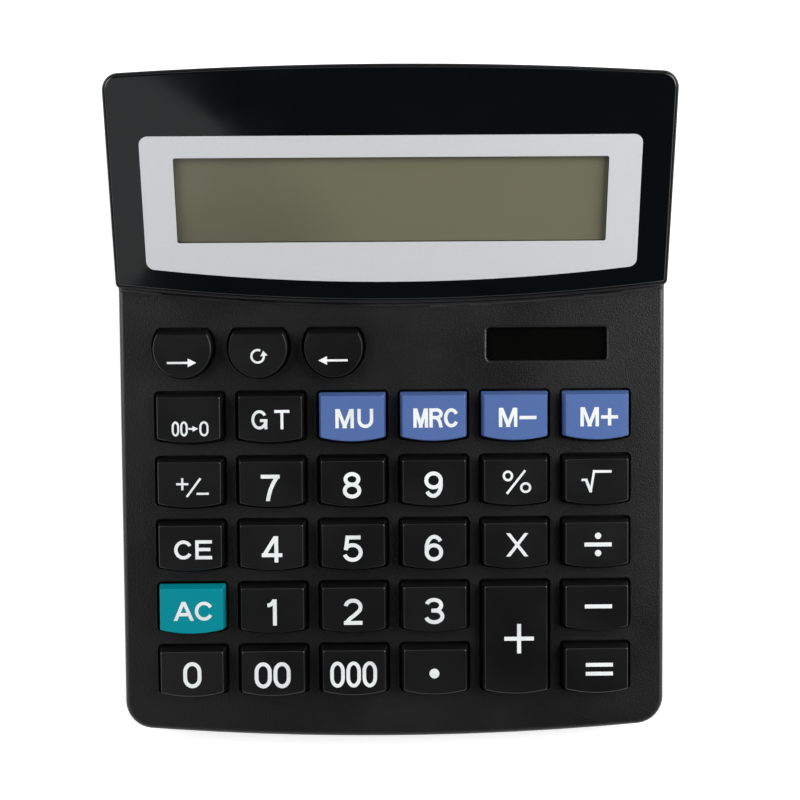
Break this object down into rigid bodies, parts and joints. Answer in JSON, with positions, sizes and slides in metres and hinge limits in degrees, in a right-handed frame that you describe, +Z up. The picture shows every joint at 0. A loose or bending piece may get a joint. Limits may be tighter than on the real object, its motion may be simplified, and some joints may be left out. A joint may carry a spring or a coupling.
{
  "type": "desk calculator",
  "caption": "Desk calculator with a sloped key deck, a raised hood with a framed liquid crystal display, a solar window and a sliding battery door.",
  "frame": {"origin": "on the desk under the middle of the case", "axes": "+X to the right of a user, +Y from the front edge to the display, +Z up from the desk"},
  "size_m": [0.154, 0.1846, 0.0502],
  "materials": {
    "case_black": "fine matte grain",
    "key_black": "smooth satin",
    "key_blue": "smooth satin",
    "key_teal": "smooth satin",
    "hood_gloss": "polished",
    "bezel_silver": "fine silver paint",
    "clear_pane": "clear acrylic",
    "lcd_grey": "grey-green polariser",
    "holder_grey": "moulded",
    "ribbon_amber": "film",
    "board_green": "solder mask",
    "mat_rubber": "silicone",
    "resin_black": "cured resin",
    "capacitor_black": "sleeve",
    "screw_steel": "zinc plated",
    "solar_dark": "amorphous cell",
    "lead_red": "insulation",
    "foot_rubber": "matte",
    "cell_wrap": "plain wrap",
    "contact_plated": "nickel plated"
  },
  "bodies": {
    "case": {"top_case": "case_black", "bottom_case": "case_black", "hood_panel": "hood_gloss", "display_bezel": "bezel_silver", "display_window": "clear_pane", "solar_window": "clear_pane", "lcd_glass": "lcd_grey", "lcd_holder": "holder_grey", "lcd_ribbon": "ribbon_amber", "main_board": "board_green", "rubber_keypad": "mat_rubber", "controller_chip": "resin_black", "board_capacitor": "capacitor_black", "board_screws": "screw_steel", "case_screws": "screw_steel", "solar_cell": "solar_dark", "solar_leads": "lead_red", "rubber_feet": "foot_rubber", "battery_cell": "cell_wrap", "battery_plate": "contact_plated", "battery_spring": "contact_plated", "battery_leads": "lead_red"},
    "key_review_next": {"key_review_next": "key_black"},
    "key_replay": {"key_replay": "key_black"},
    "key_review_back": {"key_review_back": "key_black"},
    "key_backspace": {"key_backspace": "key_black"},
    "key_grand_total": {"key_grand_total": "key_black"},
    "key_markup": {"key_markup": "key_blue"},
    "key_memory_recall": {"key_memory_recall": "key_blue"},
    "key_memory_minus": {"key_memory_minus": "key_blue"},
    "key_memory_plus": {"key_memory_plus": "key_blue"},
    "key_sign": {"key_sign": "key_black"},
    "key_7": {"key_7": "key_black"},
    "key_8": {"key_8": "key_black"},
    "key_9": {"key_9": "key_black"},
    "key_percent": {"key_percent": "key_black"},
    "key_root": {"key_root": "key_black"},
    "key_clear_entry": {"key_clear_entry": "key_black"},
    "key_4": {"key_4": "key_black"},
    "key_5": {"key_5": "key_black"},
    "key_6": {"key_6": "key_black"},
    "key_times": {"key_times": "key_black"},
    "key_divide": {"key_divide": "key_black"},
    "key_all_clear": {"key_all_clear": "key_teal"},
    "key_1": {"key_1": "key_black"},
    "key_2": {"key_2": "key_black"},
    "key_3": {"key_3": "key_black"},
    "key_minus": {"key_minus": "key_black"},
    "key_0": {"key_0": "key_black"},
    "key_00": {"key_00": "key_black"},
    "key_000": {"key_000": "key_black"},
    "key_point": {"key_point": "key_black"},
    "key_equals": {"key_equals": "key_black"},
    "key_plus": {"key_plus": "key_black"},
    "battery_door": {"battery_door": "case_black"}
  },
  "joints": [
    {"name": "key_review_next_press", "type": "slide", "parent": "case", "child": "key_review_next", "axis": [0, 0.0872, -0.9962], "range_m": [0, 0.0018], "stiffness_N_per_m": 400, "springref_m": -0.0007, "deforming": ["rubber_keypad"]},
    {"name": "key_replay_press", "type": "slide", "parent": "case", "child": "key_replay", "axis": [0, 0.0872, -0.9962], "range_m": [0, 0.0018], "stiffness_N_per_m": 400, "springref_m": -0.0007, "deforming": ["rubber_keypad"]},
    {"name": "key_review_back_press", "type": "slide", "parent": "case", "child": "key_review_back", "axis": [0, 0.0872, -0.9962], "range_m": [0, 0.0018], "stiffness_N_per_m": 400, "springref_m": -0.0007, "deforming": ["rubber_keypad"]},
    {"name": "key_backspace_press", "type": "slide", "parent": "case", "child": "key_backspace", "axis": [0, 0.0872, -0.9962], "range_m": [0, 0.0018], "stiffness_N_per_m": 400, "springref_m": -0.0007, "deforming": ["rubber_keypad"]},
    {"name": "key_grand_total_press", "type": "slide", "parent": "case", "child": "key_grand_total", "axis": [0, 0.0872, -0.9962], "range_m": [0, 0.0018], "stiffness_N_per_m": 400, "springref_m": -0.0007, "deforming": ["rubber_keypad"]},
    {"name": "key_markup_press", "type": "slide", "parent": "case", "child": "key_markup", "axis": [0, 0.0872, -0.9962], "range_m": [0, 0.0018], "stiffness_N_per_m": 400, "springref_m": -0.0007, "deforming": ["rubber_keypad"]},
    {"name": "key_memory_recall_press", "type": "slide", "parent": "case", "child": "key_memory_recall", "axis": [0, 0.0872, -0.9962], "range_m": [0, 0.0018], "stiffness_N_per_m": 400, "springref_m": -0.0007, "deforming": ["rubber_keypad"]},
    {"name": "key_memory_minus_press", "type": "slide", "parent": "case", "child": "key_memory_minus", "axis": [0, 0.0872, -0.9962], "range_m": [0, 0.0018], "stiffness_N_per_m": 400, "springref_m": -0.0007, "deforming": ["rubber_keypad"]},
    {"name": "key_memory_plus_press", "type": "slide", "parent": "case", "child": "key_memory_plus", "axis": [0, 0.0872, -0.9962], "range_m": [0, 0.0018], "stiffness_N_per_m": 400, "springref_m": -0.0007, "deforming": ["rubber_keypad"]},
    {"name": "key_sign_press", "type": "slide", "parent": "case", "child": "key_sign", "axis": [0, 0.0872, -0.9962], "range_m": [0, 0.0018], "stiffness_N_per_m": 400, "springref_m": -0.0007, "deforming": ["rubber_keypad"]},
    {"name": "key_7_press", "type": "slide", "parent": "case", "child": "key_7", "axis": [0, 0.0872, -0.9962], "range_m": [0, 0.0018], "stiffness_N_per_m": 400, "springref_m": -0.0007, "deforming": ["rubber_keypad"]},
    {"name": "key_8_press", "type": "slide", "parent": "case", "child": "key_8", "axis": [0, 0.0872, -0.9962], "range_m": [0, 0.0018], "stiffness_N_per_m": 400, "springref_m": -0.0007, "deforming": ["rubber_keypad"]},
    {"name": "key_9_press", "type": "slide", "parent": "case", "child": "key_9", "axis": [0, 0.0872, -0.9962], "range_m": [0, 0.0018], "stiffness_N_per_m": 400, "springref_m": -0.0007, "deforming": ["rubber_keypad"]},
    {"name": "key_percent_press", "type": "slide", "parent": "case", "child": "key_percent", "axis": [0, 0.0872, -0.9962], "range_m": [0, 0.0018], "stiffness_N_per_m": 400, "springref_m": -0.0007, "deforming": ["rubber_keypad"]},
    {"name": "key_root_press", "type": "slide", "parent": "case", "child": "key_root", "axis": [0, 0.0872, -0.9962], "range_m": [0, 0.0018], "stiffness_N_per_m": 400, "springref_m": -0.0007, "deforming": ["rubber_keypad"]},
    {"name": "key_clear_entry_press", "type": "slide", "parent": "case", "child": "key_clear_entry", "axis": [0, 0.0872, -0.9962], "range_m": [0, 0.0018], "stiffness_N_per_m": 400, "springref_m": -0.0007, "deforming": ["rubber_keypad"]},
    {"name": "key_4_press", "type": "slide", "parent": "case", "child": "key_4", "axis": [0, 0.0872, -0.9962], "range_m": [0, 0.0018], "stiffness_N_per_m": 400, "springref_m": -0.0007, "deforming": ["rubber_keypad"]},
    {"name": "key_5_press", "type": "slide", "parent": "case", "child": "key_5", "axis": [0, 0.0872, -0.9962], "range_m": [0, 0.0018], "stiffness_N_per_m": 400, "springref_m": -0.0007, "deforming": ["rubber_keypad"]},
    {"name": "key_6_press", "type": "slide", "parent": "case", "child": "key_6", "axis": [0, 0.0872, -0.9962], "range_m": [0, 0.0018], "stiffness_N_per_m": 400, "springref_m": -0.0007, "deforming": ["rubber_keypad"]},
    {"name": "key_times_press", "type": "slide", "parent": "case", "child": "key_times", "axis": [0, 0.0872, -0.9962], "range_m": [0, 0.0018], "stiffness_N_per_m": 400, "springref_m": -0.0007, "deforming": ["rubber_keypad"]},
    {"name": "key_divide_press", "type": "slide", "parent": "case", "child": "key_divide", "axis": [0, 0.0872, -0.9962], "range_m": [0, 0.0018], "stiffness_N_per_m": 400, "springref_m": -0.0007, "deforming": ["rubber_keypad"]},
    {"name": "key_all_clear_press", "type": "slide", "parent": "case", "child": "key_all_clear", "axis": [0, 0.0872, -0.9962], "range_m": [0, 0.0018], "stiffness_N_per_m": 400, "springref_m": -0.0007, "deforming": ["rubber_keypad"]},
    {"name": "key_1_press", "type": "slide", "parent": "case", "child": "key_1", "axis": [0, 0.0872, -0.9962], "range_m": [0, 0.0018], "stiffness_N_per_m": 400, "springref_m": -0.0007, "deforming": ["rubber_keypad"]},
    {"name": "key_2_press", "type": "slide", "parent": "case", "child": "key_2", "axis": [0, 0.0872, -0.9962], "range_m": [0, 0.0018], "stiffness_N_per_m": 400, "springref_m": -0.0007, "deforming": ["rubber_keypad"]},
    {"name": "key_3_press", "type": "slide", "parent": "case", "child": "key_3", "axis": [0, 0.0872, -0.9962], "range_m": [0, 0.0018], "stiffness_N_per_m": 400, "springref_m": -0.0007, "deforming": ["rubber_keypad"]},
    {"name": "key_minus_press", "type": "slide", "parent": "case", "child": "key_minus", "axis": [0, 0.0872, -0.9962], "range_m": [0, 0.0018], "stiffness_N_per_m": 400, "springref_m": -0.0007, "deforming": ["rubber_keypad"]},
    {"name": "key_0_press", "type": "slide", "parent": "case", "child": "key_0", "axis": [0, 0.0872, -0.9962], "range_m": [0, 0.0018], "stiffness_N_per_m": 400, "springref_m": -0.0007, "deforming": ["rubber_keypad"]},
    {"name": "key_00_press", "type": "slide", "parent": "case", "child": "key_00", "axis": [0, 0.0872, -0.9962], "range_m": [0, 0.0018], "stiffness_N_per_m": 400, "springref_m": -0.0007, "deforming": ["rubber_keypad"]},
    {"name": "key_000_press", "type": "slide", "parent": "case", "child": "key_000", "axis": [0, 0.0872, -0.9962], "range_m": [0, 0.0018], "stiffness_N_per_m": 400, "springref_m": -0.0007, "deforming": ["rubber_keypad"]},
    {"name": "key_point_press", "type": "slide", "parent": "case", "child": "key_point", "axis": [0, 0.0872, -0.9962], "range_m": [0, 0.0018], "stiffness_N_per_m": 400, "springref_m": -0.0007, "deforming": ["rubber_keypad"]},
    {"name": "key_equals_press", "type": "slide", "parent": "case", "child": "key_equals", "axis": [0, 0.0872, -0.9962], "range_m": [0, 0.0018], "stiffness_N_per_m": 400, "springref_m": -0.0007, "deforming": ["rubber_keypad"]},
    {"name": "key_plus_press", "type": "slide", "parent": "case", "child": "key_plus", "axis": [0, 0.0872, -0.9962], "range_m": [0, 0.0018], "stiffness_N_per_m": 400, "springref_m": -0.0007, "deforming": ["rubber_keypad"]},
    {"name": "battery_door_slide", "type": "slide", "parent": "case", "child": "battery_door", "axis": [0, 1, 0], "range_m": [0, 0.012]}
  ]
}
